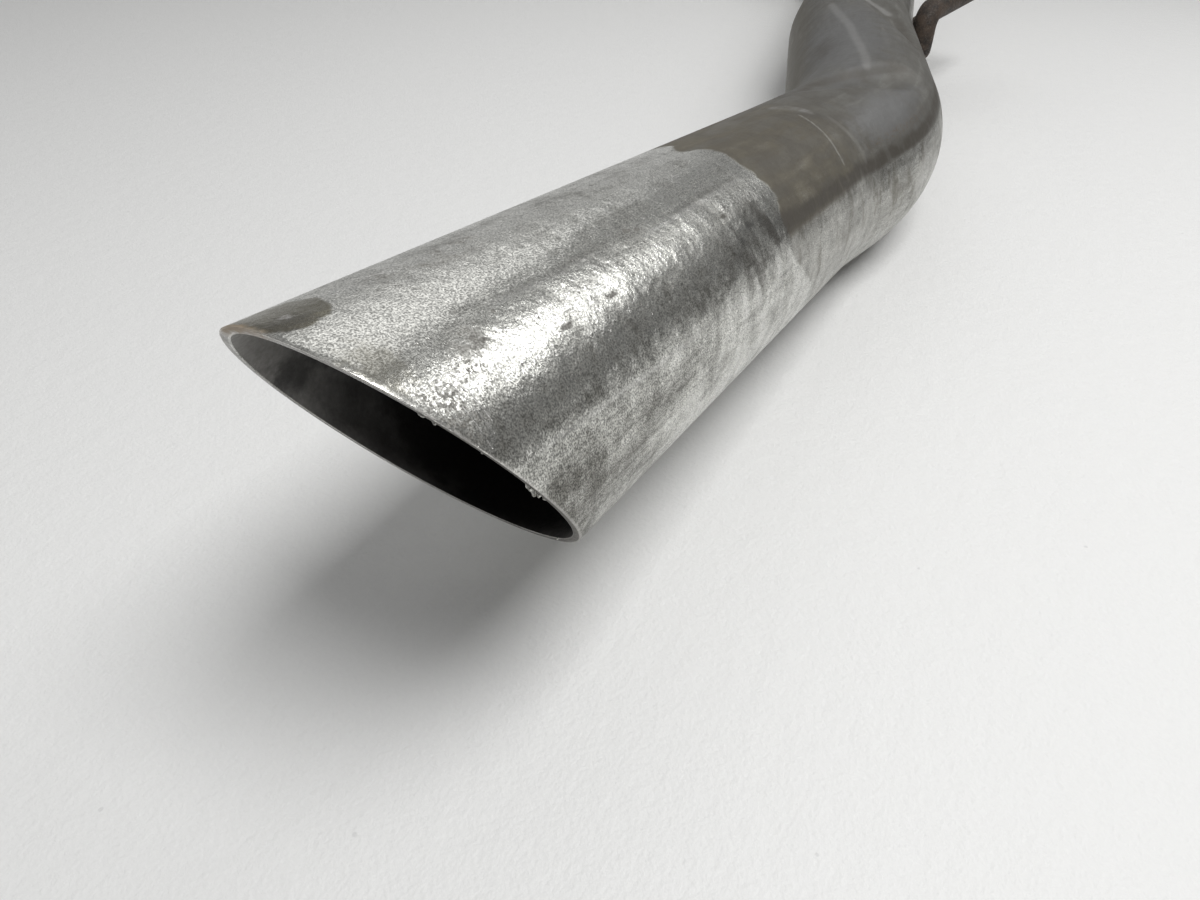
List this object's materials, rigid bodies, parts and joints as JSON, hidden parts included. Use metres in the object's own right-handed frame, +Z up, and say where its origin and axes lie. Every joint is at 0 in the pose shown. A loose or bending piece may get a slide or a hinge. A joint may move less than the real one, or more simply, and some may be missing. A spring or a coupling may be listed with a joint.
{
  "type": "exhaust tail pipe",
  "caption": "Bent aluminised steel exhaust tail pipe with a slash-cut outlet, pressed folds in its bend, a plain inlet end and a welded hanger rod.",
  "frame": {"origin": "centre of the outline on the ground the pipe lies on", "axes": "+Z up, +X from the slash-cut outlet towards the inlet, +Y to the side the inlet leg turns to"},
  "size_m": [0.8566, 0.3092, 0.0926],
  "materials": {
    "aluminised_steel": "worn aluminised steel with dull brown film and stains",
    "rusty_steel": "bare steel rod, rusted brown",
    "weld_metal": "rippled weld bead with brown heat film"
  },
  "bodies": {
    "root": {"tail_tube": "aluminised_steel", "hanger_rod": "rusty_steel", "rod_weld_upper": "weld_metal", "rod_weld_lower": "weld_metal"}
  },
  "joints": []
}
